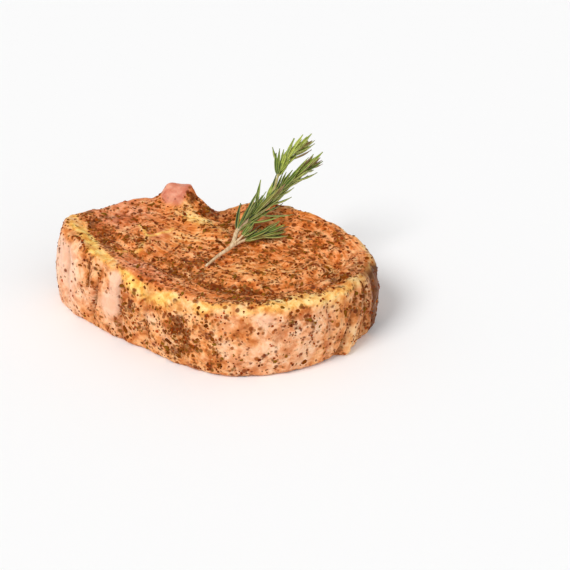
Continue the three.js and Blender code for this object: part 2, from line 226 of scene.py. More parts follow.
def unevenness(x, y, z):
    """Slow waves of the whole surface, the same as the solid's."""
    return (
        0.45 * np.sin(0.21 * x + 0.13 * y + 1.3) * np.sin(0.17 * y - 0.2 * z)
        + 0.35 * np.sin(0.33 * x - 0.29 * y + 0.31 * z)
        + 0.25 * np.sin(0.55 * x + 0.47 * y - 0.4 * z + 2.1)
    )


def rim_near(x, y):
    """Rim height, distance to the outline, and the nearest station."""
    x, y = np.atleast_1d(x).astype(float), np.atleast_1d(y).astype(float)
    rim, inset = np.empty_like(x), np.empty_like(x)
    nearest = np.empty(x.shape, int)
    for start in range(0, x.size, AT_ONCE):
        part = slice(start, start + AT_ONCE)
        reach = np.hypot(x[part, None] - STATIONS[:, 0], y[part, None] - STATIONS[:, 1])
        weight = (reach + 1) ** -3.0
        rim[part] = weight @ STATIONS[:, 2] / weight.sum(1)
        nearest[part] = reach.argmin(1)
        inset[part] = reach.min(1)
    return rim, inset, nearest


def spot(x, y, centre, radii, power, turn):
    """A patch, 1 at its centre. A higher power gives it a sharper edge."""
    turn = radians(turn)
    dx, dy = x - centre[0], y - centre[1]
    along = (dx * cos(turn) + dy * sin(turn)) / radii[0]
    across = (dy * cos(turn) - dx * sin(turn)) / radii[1]
    return np.exp(-(np.hypot(along, across) ** power))


def top_height(x, y):
    """Height of the top face."""
    rim, inset, nearest = rim_near(x, y)
    inside = np.maximum(0, inset - SHOULDER_OUT[nearest] - BROAD_END.shelf * BROAD[nearest])
    dish = DISH.depth * (1 - bell(inside, DISH.reach))
    front = 1 - smooth(STATIONS[nearest, 1], *SEAM.fade)
    seam = SEAM.depth * front * bell(inset - SEAM.inset, SEAM.half)
    forms = sum(height * spot(x, y, at, radii, *edge) for at, radii, height, *edge in TOP_FORMS)
    return rim - dish - seam + forms + unevenness(x, y, 0)


def fold_depths(index, level, sharp=None):
    """How deep each fold is there. sharp is the width of just its bottom line."""
    for at, depth, half, low, high, lean in FOLDS:
        way = way_along(index, at) - lean * (level - 0.5)
        upright = bell(level - (low + high) / 2, FOLD_REACH * (high - low))
        yield depth * bell(way, sharp or half) * upright


def wall_place(index, level):
    """Points of the wall and of the rounds above and below it."""
    station, shoulder = STATIONS[index], SHOULDER_OUT[index]
    top = station[:, 2] - SHOULDER.down
    foot = np.pi / 2 * np.clip(level / FOOT_SHARE, 0, 1)
    brow = np.pi / 2 * np.clip((level - 1 + SHOULDER_SHARE) / SHOULDER_SHARE, 0, 1)
    rise = np.clip((level - FOOT_SHARE) / (1 - FOOT_SHARE - SHOULDER_SHARE), 0, 1)
    inset = FOOT_ROUND * (1 - np.sin(foot)) + BROAD_END.lean * BROAD[index] * rise
    inset = inset - BELLY * np.sin(np.pi * rise) + shoulder * (1 - np.cos(brow))
    straight = FOOT_ROUND + (top - FOOT_ROUND) * rise
    z = np.where(level < FOOT_SHARE, FOOT_ROUND * (1 - np.cos(foot)), straight)
    z += SHOULDER.down * np.sin(brow)
    lobe = LOBE.out * bell(way_along(index, LOBE.at), LOBE.half)
    lobe = lobe * bell(level - LOBE.level, LOBE.tall)
    calm = smooth(level, 0, SMOOTH_FOOT) * (1 - smooth(level, SMOOTH_BROW, 1))
    middle = np.sqrt(np.clip(np.sin(np.pi * level), 0, 1))
    rough = middle * unevenness(station[:, 0], station[:, 1], z)
    out = calm * (lobe - sum(fold_depths(index, level))) + rough - inset
    return np.column_stack([station[:, :2] + OUT[index] * out[:, None], z])


def above_wall(level):
    """From 0 on the wall to 1 where the rim's round meets the top."""
    return smooth(level, 1 - SHOULDER_SHARE, 1)


def drum():
    """A drum of radius 1 and height 1, spun from its half section."""
    under = [(i / UNDER_STEPS, 0) for i in range(UNDER_STEPS)]
    wall = [(1, i / WALL_STEPS) for i in range(WALL_STEPS + 1)]
    top = [(1 - i / TOP_STEPS, 1) for i in range(1, TOP_STEPS + 1)]
    shape = bmesh.new()
    section = [shape.verts.new((x, 0, z)) for x, z in under + wall + top]
    edges = [shape.edges.new(pair) for pair in zip(section, section[1:])]
    turn = {"cent": (0, 0, 0), "axis": (0, 0, 1), "angle": 2 * pi, "steps": AROUND}
    ops.spin(shape, geom=section + edges, use_merge=True, **turn)
    ops.remove_doubles(shape, verts=shape.verts, dist=TINY)
    ops.recalc_face_normals(shape, faces=shape.faces)
    return as_mesh("chop", shape)


# ---- Zones of the surface ----

# What lies where. A patch of the top has a centre, radii, power, turn in degrees and strength,
# and a patch of the wall a place on the outline, half width, level, half height and strength.
PATCHES = {
    "bare": ([((-20.5, 48.5), (8.5, 7.5), 6, 0, 1), ((-57, 43), (24, 4.5), 2, 32, 0.7)],
        [((-46.3, -26.5), 3.4, 0.72, 0.22, 1.3), ((-50, -23.2), 5.4, 0.45, 0.11, 1.15),
        ((-73, -2), 8, 0.6, 0.42, 0.75), ((-79, 7), 5.5, 0.66, 0.28, 0.75),
        ((-83, 14), 5, 0.45, 0.3, 0.6), ((29, -60), 7, 0.72, 0.12, 0.6),
        ((-30, -40), 5, 0.5, 0.1, 0.35)]),
    "butter": ([((-6, 29), (15, 5.5), 3, -38, 1.1), ((46, -47), (13, 4), 4, 22, 0.45),
        ((62, -12), (2, 8), 2, 10, 0.7)],
        [((29, -60), 12, 0.86, 0.1, 0.5), ((62, -44), 9, 0.85, 0.16, 0.7)]),
    "rosy": ([((-50, 30), (16, 10), 2, 30, 0.9), ((-32, -25), (18, 8), 2, -40, 0.7),
        ((-57, 43), (24, 5), 2, 32, 1), ((-27, 14), (6.5, 5), 3, 40, 0.6)],
        [((59, -47), 1.4, 0.6, 0.3, 1), ((-60, -15), 2.4, 0.5, 0.25, 0.6),
        ((-81, 28), 3, 0.9, 0.1, 1)]),
    # Painted light: brighter patches coloured as if lit, on the top, on the wall's flap of fat and
    # low on the front wall.
    "glow": ([((26, -18), (24, 9), 2, 8, 0.7), ((-14, 12), (14, 9), 2, -10, 0.6),
        ((-6, 29), (14, 6), 2, -38, 0.9)],
        [((72, -34.5), 7.5, 0.18, 0.22, 0.95), ((-22, -45), 16, 0.16, 0.1, 0.3)]),
    "clean": ([],
        [((-72, 5), 27, 0.5, 1, 1), ((38, -57), 26, 0.5, 0.6, 0.95),
        ((10, -59), 10, 0.1, 0.12, 0.4)]),
    "herbs": ([((-27, 14), (6.5, 5), 3, 40, -0.35), ((-40, 33), (9, 5), 2, 30, -0.2),
        ((-61, 18), (9, 4), 2, -62, 1.2), ((-55, 2), (11, 4.5), 2, -55, 1),
        ((-46, 16), (10, 9), 2, 0, 0.25), ((-36, 6), (8, 6), 2, 0, 0.35),
        ((-8, -12), (11, 9), 2, -30, 0.9), ((-15, -22), (10, 4), 2, -32, 1),
        ((3, -31), (11, 4.5), 2, -35, 1.1), ((20, -37), (13, 3.5), 2, -4, 0.8),
        ((38, -37), (10, 3), 2, 8, 0.6), ((12, -2), (7, 5), 2, 0, 0.5),
        # Painted shade in part: the herbs at (5, 37) fill the hollow by the knob and darken it as
        # shade would.
        ((-13, 43), (6, 5), 2, 0, 1), ((-3, 44), (7, 6), 2, -30, 1), ((5, 37), (4, 12), 2, 25, 1.1),
        ((66, -26), (8, 6), 2, 0, 0.9), ((45, -5), (8, 8), 2, 0, 0.35),
        ((60, 14), (12, 10), 2, 0, 0.4), ((46, -14), (22, 14), 2, 0, 0.2),
        ((30, -54), (32, 5), 2, 0, 0.6), ((46, -47), (16, 5), 2, 22, 0.6),
        ((64, -36), (9, 6), 2, 30, 0.5)],
        [((68.5, -38.5), 4.5, 0.12, 0.16, -0.3), ((-61.5, -13), 1.4, 0.62, 0.12, 1.5),
        ((-58.5, -16), 1.2, 0.42, 0.14, 0.8), ((-43, -29), 2.6, 0.42, 0.08, 1.6),
        ((-38, -33), 2.2, 0.52, 0.08, 1.2), ((-30, -39), 2, 0.35, 0.06, 0.9),
        ((-25, -42), 4, 0.93, 0.05, 0.9), ((-16, -49), 3, 0.25, 0.06, 0.8),
        ((-12.5, -51), 5.5, 0.5, 0.13, 1.5), ((-11, -52), 2, 0.42, 0.05, 1.2),
        ((2, -57), 2, 0.22, 0.05, 1), ((3, -58), 3, 0.93, 0.05, 0.9),
        ((42, -56), 2.6, 0.6, 0.14, 1), ((50, -52), 2, 0.57, 0.1, 0.8),
        ((68, -39), 3, 0.58, 0.1, 0.6), ((73, -33), 1.6, 0.7, 0.2, 0.7),
        ((78, -25), 3, 0.6, 0.4, 0.45), ((-82.5, 12), 2.2, 0.5, 0.3, 1.4),
        ((-50, 48), 8, 0.6, 0.3, 0.6), ((-34, -36), 14, 0.45, 0.4, 0.16),
        ((-2, -56), 15, 0.45, 0.4, 0.18)]),
    # dark: greyer, darker meat at the thin end, partly painted shade, and a painted shadow by the
    # knob.
    "dark": ([((80, -18), (8, 14), 2, 0, 0.6), ((4, 45), (7, 6), 2, 0, 0.5)],
        [((84.5, -11), 9, 0.45, 0.8, 2.1), ((84, 8), 10, 0.5, 0.5, 0.6),
        ((0, 47), 9, 0.5, 0.6, 0.5)]),
}
PATCH_LIMITS = (-0.3, 1.6)
# Thin lines of the top, each from one point to another: yellow seams of fat, and creases.
FAT_SEAMS = [
    ((-33, 10), (-36, -1)), ((-33, 10), (-39, 22)), ((-33, 10), (-20, 21)), ((-36, -1), (-48, -6)),
]
CREASES = [
    ((-40, -7), (-29, -13)), ((-29, -13), (-17, -21)), ((-17, -21), (4, -32)),
    ((4, -32), (34, -38)), ((55, -40), (63, -27)), ((63, -27), (64, -8)), ((-62, 24), (-40, 34)),
]
WANDER = Sizes(seed=1, scale=0.11, sideways=2, rim=2.2)  # how the zones' edges stray
CLUMPS = Sizes(scales=(0.16, 0.37), finer=0.6, strength=1.2, limits=(0.25, 2))  # of herbs
# What there is of herbs and of stain everywhere, and what each zone adds to it.
HERBS = (0.28, {"lean": 0.1, "clean": -0.1, "glow": -0.12, "folds": 0.16, "herbs": 0.72})
STAIN = (0.75, {"clean": -0.65, "folds": 0.2, "bare": -0.3})
HERBS_IN = Sizes(creases=0.3, band=0.6, bare=0.95, most=1.6)
BAND_BEHIND = (34, 46)  # Y over which the band of fat fades towards the back
BAND_LEAST = 0.35
FOLD_LINE, CREASE_LINE, FAT_LINE = 1.1, 1.3, 1  # half widths

# Relief of the surface. Scales are in waves per millimetre.
FIBRE = Sizes(across=0.42, along=0.05, layer=3.1, height=0.6, inset=17, reach=13)
LUMPS = Sizes(scale=0.16, height=0.5)
GRIT = Sizes(scale=0.62, on_lean=0.14, on_fat=0.09)
BARE_SMOOTHS, SEAM_RISE, CREASE_DEPTH = 0.75, 0.35, 0.7
STILL_FOOT = 0.1  # below this level the relief runs out


def near_lines(x, y, lines, half):
    """How near each place is to some lines, from 0 to 1."""
    most = np.zeros_like(x)
    for (ax, ay), (bx, by) in lines:
        length = hypot(bx - ax, by - ay)
        ux, uy = (bx - ax) / length, (by - ay) / length
        along = np.clip((x - ax) * ux + (y - ay) * uy, 0, length)
        most = np.maximum(most, bell(np.hypot(x - ax - along * ux, y - ay - along * uy), half))
    return most


def zones(places, index, level):
    """Shares of what covers each point of the surface."""
    spots = [Vector(p) for p in places]
    noise.seed_set(WANDER.seed)  # else noise_vector takes the time as its seed
    wander = np.array([noise.noise_vector(p * WANDER.scale) for p in spots])
    coarse, close = (np.array([noise.noise(p * scale) for p in spots]) for scale in CLUMPS.scales)
    clump = 1 + CLUMPS.strength * (coarse + CLUMPS.finer * close)
    x, y = (places + WANDER.sideways * wander).T[:2]
    _, inset, nearest = rim_near(places[:, 0], places[:, 1])
    on_top = above_wall(level)
    below_rim = STATIONS[index, 2] - wall_place(index, level)[:, 2]
    way_in = inset - below_rim + WANDER.rim * wander[:, 2]
    outer, inner = STATIONS[nearest, 3], STATIONS[nearest, 4]
    found = {}
    for name, (of_top, of_wall) in PATCHES.items():
        amount = sum(a * spot(x, y, at, r, p, t) * on_top for at, r, p, t, a in of_top)
        for at, half, middle, tall, a in of_wall:
            shape = bell(way_along(index, at) + wander[:, 0], half) * bell(level - middle, tall)
            amount = amount + a * shape * (1 - on_top)
        found[name] = np.clip(amount, *PATCH_LIMITS)
    front = 1 - smooth(STATIONS[nearest, 1], *BAND_BEHIND)
    lean = smooth(way_in, inner - 1.2, inner + 1.2) * (level > 0.5)
    band = smooth(way_in, outer - 3.0, outer + 1.5) * (1 - smooth(way_in, inner - 1.0, inner + 2.5))
    folds, lines = (
        np.clip(sum(fold_depths(index, level, sharp)) / DEEPEST, 0, 1) * (1 - on_top)
        for sharp in (None, FOLD_LINE)
    )
    creases = near_lines(x, y, CREASES, CREASE_LINE) * lean
    given = {**found, "lean": lean, "folds": folds}
    herbs, stain = (
        sum((share * given[of] for of, share in added.items()), start)
        for start, added in (HERBS, STAIN)
    )
    herbs = herbs * np.clip(clump, *CLUMPS.limits) * (1 - HERBS_IN.band * band)
    herbs = (herbs + HERBS_IN.creases * creases) * (1 - HERBS_IN.bare * found["bare"])
    along = nearest / AROUND * WAY[-1]
    return {
        "lean": lean,
        "fat": np.clip(band * (BAND_LEAST + (1 - BAND_LEAST) * front) + found["butter"], 0, 1),
        **{name: np.clip(found[name], 0, 1) for name in ("bare", "rosy", "glow", "dark")},
        "herbs": np.clip(herbs * smooth(level, 0.0, 0.05), 0, HERBS_IN.most),
        "stain": np.clip(stain, 0, 1),
        "seams": near_lines(x, y, FAT_SEAMS, FAT_LINE) * lean,
        "creases": np.clip(0.5 * creases + 0.15 * folds + 0.9 * lines, 0, 1),
        "inset": inset,
        "along": np.minimum(along, WAY[-1] - along),
    }


def relief(places, zone, level):
    """Fine lumps, fibres and grit, out of the surface."""
    inset, along = zone["inset"], zone["along"]
    height = np.empty(len(places))
    for i, place in enumerate(places):
        p = Vector(place)
        lean, bare = zone["lean"][i], zone["bare"][i]
        strand = Vector((inset[i] * FIBRE.across, along[i] * FIBRE.along, FIBRE.layer))
        fibre = 1 - abs(noise.noise(strand)) * 2
        lumps = LUMPS.height * noise.fractal(p * LUMPS.scale, 1.0, 2.1, 3)
        grit = noise.fractal(p * GRIT.scale, 0.8, 2.2, 2)
        near_rim = exp(-(((inset[i] - FIBRE.inset) / FIBRE.reach) ** 2))
        top = FIBRE.height * near_rim * fibre + lumps + GRIT.on_lean * grit
        wall = lumps + GRIT.on_fat * grit
        height[i] = (lean * top + (1 - lean) * wall) * (1 - BARE_SMOOTHS * bare)
    on_top = above_wall(level)
    height += SEAM_RISE * zone["seams"] * on_top - CREASE_DEPTH * zone["creases"]
    return height * smooth(level, 0.0, STILL_FOOT)


def chop_mesh():
    """The drum moved onto the chop's form, and its zones, which are vertex amounts too."""
    mesh = drum()
    unit = coordinates(mesh)
    reach = np.hypot(unit[:, 0], unit[:, 1])
    level = np.clip(unit[:, 2], 0, 1)
    index = np.rint(np.arctan2(unit[:, 1], unit[:, 0]) / (2 * np.pi) * AROUND).astype(int) % AROUND
    places = wall_place(index, level)
    places[:, :2] *= reach[:, None]
    onto_top = above_wall(level)
    raised = onto_top > 0
    rise = top_height(places[raised, 0], places[raised, 1]) - STATIONS[index[raised], 2]
    places[raised, 2] += onto_top[raised] * rise
    set_coordinates(mesh, places)
    zone = zones(places, index, level)
    normals = np.array([v.normal for v in mesh.vertices])
    places += normals * relief(places, zone, level)[:, None]
    places[:, 2] = np.maximum(places[:, 2], 0)
    set_coordinates(mesh, places)
    for name, amount in zone.items():
        set_amount(mesh, name, amount)
    return mesh, zone


# ---- Materials ----


def tint(*colour):
    """A colour given as it looks on a screen, from 0 to 255."""
    shares = [c / 255 for c in colour]
    return (*(c / 12.92 if c <= 0.04 else ((c + 0.055) / 1.055) ** 2.4 for c in shares), 1)


class Finish:
    """A material and the calls that build its nodes."""

    def __init__(self, name, **surface):
        self.material = bpy.data.materials.new(name)
        self.material.use_nodes = True
        self.tree = self.material.node_tree
        self.tree.nodes.clear()
        self.shader = self.node("BsdfPrincipled", surface)
        output = self.tree.nodes.new("ShaderNodeOutputMaterial")
        self.tree.links.new(self.shader.outputs["BSDF"], output.inputs["Surface"])
        self.place = self.value("TexCoord", out="Object")

    def node(self, kind, inputs=None, **settings):
        made = self.tree.nodes.new("ShaderNode" + kind)
        for key, value in settings.items():
            setattr(made, key, value)
        for key, value in (inputs or {}).items():
            self.feed(made.inputs[key], value)
        return made

    def value(self, kind, inputs=None, out=0, **settings):
        return self.node(kind, inputs, **settings).outputs[out]

    def feed(self, socket, value):
        if isinstance(value, bpy.types.NodeSocket):
            self.tree.links.new(value, socket)
        else:
            socket.default_value = value

    def math(self, operation, a, b=0):
        return self.value("Math", {0: a, 1: b}, operation=operation)

    def plus(self, a, b):
        return self.math("ADD", a, b)

    def times(self, a, b):
        return self.math("MULTIPLY", a, b)

    def mix(self, share, a, b):
        """From colour a to colour b. The numbers are the sockets of a colour mix."""
        return self.value("Mix", {0: share, 6: a, 7: b}, 2, data_type="RGBA")

    def over(self, base, *layers):
        """A colour under layers, each a share and a colour."""
        for share, colour in layers:
            base = self.mix(share, base, colour)
        return base

    def range(self, value, low, high, to_low=0, to_high=1):
        inputs = dict(enumerate((value, low, high, to_low, to_high)))
        return self.value("MapRange", inputs, interpolation_type="SMOOTHSTEP")

    def noise(self, scale, detail=3, distortion=0, place=None):
        inputs = {"Vector": place or self.place, "Scale": scale, "Detail": detail}
        return self.value("TexNoise", {**inputs, "Distortion": distortion}, "Fac")

    def stretched(self, scale, turn=(0, 0, 0)):
        return self.value("Mapping", {"Vector": self.place, "Scale": scale, "Rotation": turn})

    def ramp(self, share, name):
        stops = RAMPS[name]
        made = self.node("ValToRGB", {"Fac": share})
        elements = made.color_ramp.elements
        while len(elements) < len(stops):
            elements.new(0.5)
        for element, (position, *colour) in zip(elements, stops):
            element.position = position
            element.color = tint(*colour)
        return made.outputs["Color"]

    def amounts(self, names):
        """The vertex amounts of these names."""
        return [self.value("Attribute", out="Fac", attribute_name=name) for name in names.split()]

    def axis(self, letter):
        return self.value("SeparateXYZ", {"Vector": self.place}, letter)

    def own_draw(self):
        """A draw from 0 to 1 for each loose part of the mesh."""
        return self.value("NewGeometry", out="Random Per Island")

    def specks(self, place, scale, amount, small, large):
        """Marks in Voronoi cells: how strong each is, and a draw of its own."""
        cells = self.node("TexVoronoi", {"Vector": place, "Scale": scale})
        own = self.node("SeparateColor", {"Color": cells.outputs["Color"]})
        there = self.range(self.math("SUBTRACT", amount, own.outputs[0]), 0, 0.08)
        size = self.range(own.outputs[1], 0, 1, small, large)
        disc = self.range(self.math("SUBTRACT", size, cells.outputs["Distance"]), -0.12, 0.14)
        return self.times(there, disc), own.outputs[2]

    def bump(self, height, distance, below=None):
        below = {"Normal": below} if below else {}
        return self.value("Bump", {"Height": height, "Distance": distance, **below})

    def surface(self, **links):
        for key, value in links.items():
            self.feed(self.shader.inputs[key.replace("_", " ")], value)
        return self.material


# Colours of the surfaces, each as stops of a ramp: position, red, green, blue.
RAMPS = {
    "skin": [(0, 214, 134, 84), (0.45, 240, 176, 130), (1, 253, 208, 170)],
    "stained": [(0, 182, 94, 36), (0.45, 224, 138, 74), (1, 251, 186, 126)],
    "meat": [(0, 176, 78, 20), (0.33, 216, 120, 54), (0.66, 242, 156, 96), (1, 254, 196, 138)],
    "flushed": [(0, 188, 92, 54), (0.5, 226, 136, 96), (1, 250, 182, 146)],
    "bright": [(0, 226, 132, 56), (0.5, 252, 178, 98), (1, 255, 216, 146)],
    "honey": [(0, 234, 160, 94), (0.5, 251, 199, 138), (1, 255, 222, 172)],
    "cream": [(0, 218, 136, 58), (0.45, 246, 186, 102), (1, 255, 226, 158)],
    "gold": [(0, 220, 140, 54), (0.45, 252, 196, 96), (1, 255, 224, 138)],
    "cut": [(0, 204, 118, 94), (1, 232, 162, 136)],
    "pale": [(0, 240, 186, 154), (1, 248, 204, 174)],
    "specks": [(0, 92, 34, 2), (0.5, 136, 58, 8), (0.7, 116, 80, 16), (1, 170, 82, 20)],
    "herb_flakes": [(0, 92, 42, 4), (0.4, 132, 66, 10), (0.65, 128, 94, 22), (1, 158, 80, 20)],
    "pepper": [(0, 96, 34, 4), (0.6, 140, 56, 10), (1, 176, 90, 28)],
    "chilli": [(0, 130, 44, 14), (1, 196, 88, 34)],
    "garlic": [(0, 206, 140, 70), (1, 240, 196, 130)],
    "leaf": [(0.25, 30, 46, 0), (0.55, 88, 112, 8), (0.9, 194, 202, 84)],
    "wood": [(0.3, 186, 144, 102), (0.5, 222, 190, 146), (0.75, 244, 222, 188)],
}
# Darker, greyer meat, mixed with painted shade.
DARK_MEAT_AND_SHADE = (tint(50, 29, 20), tint(130, 80, 56))
DRIED = (tint(118, 52, 6), tint(104, 64, 8))
CLUMPED = tint(82, 42, 6)
CREASED = tint(114, 54, 8)
WARM_GLOSS = {"Specular Tint": (1, 0.75, 0.5, 1)}
MOIST = {
    "Subsurface Weight": 0.12, "Subsurface Radius": (0.004, 0.0018, 0.001), "Subsurface Scale": 1,
    "IOR": 1.4, "Specular IOR Level": 0.16, "Coat Weight": 0.08, "Coat Roughness": 0.2,
    **WARM_GLOSS,
}
LEAF_SURFACE = {
    "Roughness": 0.32, "Specular IOR Level": 0.5, "Subsurface Weight": 0.08,
    "Subsurface Radius": (0.001, 0.002, 0.0005),
}
GOLD_TO_CREAM = (-0.05, 0.01)  # X in metres over which the rim's fat changes colour
CROWDED = (0.8, 1.4)  # amount of herbs over which they grow dark and matted
# Specks painted on the meat: scale of their cells, turn, share of the herbs' amount, least and
# greatest size, and strength.
SPECKS = [
    (330, None, 1.0, 0.18, 0.46, 0.9),
    ((320, 460, 400), (0.3, 0.2, 0.5), 0.9, 0.18, 0.44, 0.85),
    ((500, 400, 440), (0.1, 0.4, 0.9), 0.8, 0.16, 0.42, 0.8),
    (600, None, 0.8, 0.2, 0.46, 0.75),
]


def seasoned_meat():
    """Lean, fat and marinade, with the smaller specks of seasoning."""
    made = Finish("seasoned_meat", **MOIST)
    lean, fat, bare, rosy, glow, herbs = made.amounts("lean fat bare rosy glow herbs")
    stain, dark, seams, creases = made.amounts("stain dark seams creases")
    inset, along = made.amounts("inset along")
    wide, middle, fine = made.noise(70, 3, 0.5), made.noise(120, 3, 0.8), made.noise(330, 4, 0.5)
    other = made.noise(110, 3, 0.8, made.stretched((1.3, 1, 0.8), (0.4, 0.7, 0.2)))
    strands = {"X": made.times(inset, 0.5), "Y": made.times(along, 0.07)}
    strands = made.value("CombineXYZ", strands)
    fibre = made.range(made.noise(1, 4, 0.4, strands), 0.35, 0.65)
    tone = made.range(made.plus(made.times(middle, 0.55), made.times(fine, 0.45)), 0.34, 0.66)
    streaked = made.plus(made.times(tone, 0.55), made.times(fibre, 0.45))

    # The skin of the wall, soaked with marinade in places.
    soaked = made.range(made.plus(made.times(stain, 0.55), wide), 0.6, 0.9)
    skin, honey = made.ramp(tone, "skin"), made.ramp(tone, "honey")
    # Painted light: the honey colour makes the wall's flap of fat look lit.
    skin = made.over(skin, (soaked, made.ramp(tone, "stained")), (glow, honey))

    # The lean top, with its redder places and its brighter ones, which are painted light.
    flushed, bright = made.ramp(tone, "flushed"), made.ramp(streaked, "bright")
    redder = made.times(rosy, made.range(other, 0.4, 0.6, 0.3, 1))
    brighter = made.times(glow, made.range(other, 0.4, 0.6, 0.9, 0.3))
    meat = made.over(made.ramp(streaked, "meat"), (redder, flushed), (brighter, bright))

    # The yellow rim and seams of fat, bare meat and fat, darker meat partly painted as shade, and
    # creases.
    gold, cream = made.ramp(tone, "gold"), made.ramp(tone, "cream")
    rim = made.mix(made.range(made.axis("X"), *GOLD_TO_CREAM), gold, cream)
    yellow = made.times(made.math("MAXIMUM", fat, seams), made.range(wide, 0.32, 0.54, 0.4, 1))
    uncovered = made.mix(lean, made.ramp(tone, "pale"), made.ramp(tone, "cut"))

    # Powdered herbs, then single specks.
    grime = made.plus(made.times(herbs, 0.28), made.noise(400, 5, 0.6))
    dried = made.mix(made.range(other, 0.42, 0.58), *DRIED)
    dried = made.mix(made.range(herbs, *CROWDED), dried, CLUMPED)
    base = made.over(
        skin,
        (lean, meat),
        (made.times(rosy, 0.5), flushed),
        (yellow, rim),
        (made.range(bare, 0.15, 0.75, 0, 0.9), uncovered),
        # Painted shade: the thin end and the place by the knob are darkened, partly as shade.
        (made.times(dark, 0.9), made.mix(tone, *DARK_MEAT_AND_SHADE)),
        (made.times(creases, 0.6), CREASED),
        (made.range(grime, 0.6, 0.86, 0, 0.7), dried),
    )
    crowded = made.range(herbs, *CROWDED, 1.0, 0.5)
    covered = 0.0
    for cells, turn, share, small, large, strength in SPECKS:
        place, scale = (made.stretched(cells, turn), 1) if turn else (made.place, cells)
        speck, own = made.specks(place, scale, made.times(herbs, share), small, large)
        colour = made.ramp(made.times(own, crowded), "specks")
        base = made.mix(made.times(speck, strength), base, colour)
        covered = made.math("MAXIMUM", speck, covered)

    ground = made.bump(covered, 0.0003, made.bump(made.noise(700, 3, 0.3), 0.0003))
    gloss = made.range(made.plus(fine, made.times(covered, 0.3)), 0.35, 0.85, 0.34, 0.6)
    return made.surface(Base_Color=base, Roughness=gloss, Normal=ground)


def dry_crumb(name, colours, roughness):
    """Seasoning of which each crumb has a colour of its own."""
    made = Finish(name, **{"Specular IOR Level": 0.06, "Roughness": roughness, **WARM_GLOSS})
    patchy = made.range(made.noise(1400, 3), 0.3, 0.7, -0.12, 0.12)
    colour = made.ramp(made.plus(made.own_draw(), patchy), colours)
    return made.surface(Base_Color=colour, Normal=made.bump(made.noise(3000, 2), 0.0002))


def rosemary_leaf():
    """Green above, paler below, with painted highlights on the rolled edges, painted shade in the
    groove and low down, and some tips dried brown.
    """
    made = Finish("rosemary_leaf", **LEAF_SURFACE)
    under, age, tip, edge = made.amounts("underside age tip edge")
    own, patchy = made.own_draw(), made.noise(400, 4)
    share = made.plus(made.times(patchy, 0.5), made.times(age, 0.25))
    share = made.plus(share, made.times(own, 0.48))
    # Painted shade: the lower needles are darker.
    share = made.plus(share, made.range(made.axis("Z"), 0.046, 0.070, -0.24, 0.06))
    pale = made.mix(made.range(patchy, 0.4, 0.6), tint(158, 156, 98), tint(200, 194, 138))
    towards_tip = made.range(made.plus(tip, patchy), 0.5, 1.1, 0.2, 0.85)
    colour = made.over(
        made.ramp(share, "leaf"),
        # Painted highlight along the rolled edges, and painted shade along the middle groove.
        (made.range(edge, 0.45, 1, 0, 0.55), tint(198, 208, 100)),
        (made.range(edge, 0.45, 0, 0, 0.6), tint(36, 52, 4)),
        (made.times(under, 0.85), pale),
        (
            made.times(made.range(own, 0.85, 0.9), towards_tip),
            made.mix(patchy, tint(92, 54, 30), tint(160, 112, 78)),
        ),
    )
    return made.surface(Base_Color=colour, Normal=made.bump(made.noise(1500, 3), 0.0002))


def rosemary_stem():
    """Furrowed wood that turns green in the young shoots, which stand higher."""
    made = Finish("rosemary_stem", **{"Roughness": 0.6})
    streaks = made.noise(1, 4, 0.5, made.stretched((900, 300, 300), (0, 0, radians(50))))
    wood = made.ramp(streaks, "wood")
    shoot = made.mix(streaks, tint(132, 128, 58), tint(188, 186, 112))
    wood = made.mix(made.range(made.axis("Z"), 0.048, 0.058, 0, 0.7), wood, shoot)
    return made.surface(Base_Color=wood, Normal=made.bump(streaks, 0.0003))


# ---- Seasoning ----

# The larger flakes and cracks, which the solid has too.
FLAKES = Sizes(count=60, length=(2.6, 4.6), width=(1.1, 1.7), thick=1.1, seed=1246)
CRACKS = Sizes(count=28, length=(1.3, 2.1), width=(1.0, 1.6), thick=1.2, seed=181)
TOP_SHARE, TOP_REACH = 0.6, 0.9  # share of those on the top face, and how near the rim they lie
PROUD = 0.15  # share of its thickness that a crumb's middle stands over the surface
CRUMB = Sizes(jitter=0.28, bend=(-0.5, 0.5), smaller=(0.6, 1.0), tilt=(0.22, 0.16))
SPRIG_CLEARANCE = 0.6
FLAKE_POINT = 1.4  # how much a flake narrows towards its ends


def solid_crumbs(kind):
    """Place, way out, spin and size of each of the solid's own crumbs."""
    roll = dice(kind.seed)
    for _ in range(kind.count):
        size = (between(roll, kind.length), between(roll, kind.width), kind.thick)
        index = int(roll() * SOLID_STATIONS) * (AROUND // SOLID_STATIONS)
        on_top = roll() < TOP_SHARE
        share = roll()
        if on_top:
            x, y = STATIONS[index, :2] * TOP_REACH * sqrt(share)
            place, out = Vector((x, y, top_height(x, y)[0])), UP
        else:
            level = FOOT_SHARE + (1 - SHOULDER_SHARE - FOOT_SHARE) * share
            place = Vector(wall_place(np.array([index]), np.array([level]))[0])
            out = Vector((*OUT[index], 0))
        yield place, out, roll() * 2 * pi, size


def crumb_shape(start, bend, seed):
    """Vertices and triangles of a rough crumb about 1 across."""
    shape = bmesh.new()
    start(shape)
    roll = dice(seed)
    for vertex in shape.verts:
        vertex.co += Vector((roll() - 0.5, roll() - 0.5, roll() - 0.5)) * CRUMB.jitter
        vertex.co.z += bend * vertex.co.x**2
    ops.triangulate(shape, faces=shape.faces)
    shape.verts.index_update()
    places = np.array([v.co for v in shape.verts])
    faces = np.array([[v.index for v in f.verts] for f in shape.faces])
    shape.free()
    return places, faces


def grain(shape):
    ops.create_icosphere(shape, subdivisions=1, radius=0.5)


def flake(shape):
    ops.create_cube(shape, size=1)
    ops.subdivide_edges(shape, edges=edges_along(0, shape), cuts=2)
    for vertex in shape.verts:
        vertex.co.y *= 1 - FLAKE_POINT * vertex.co.x**2


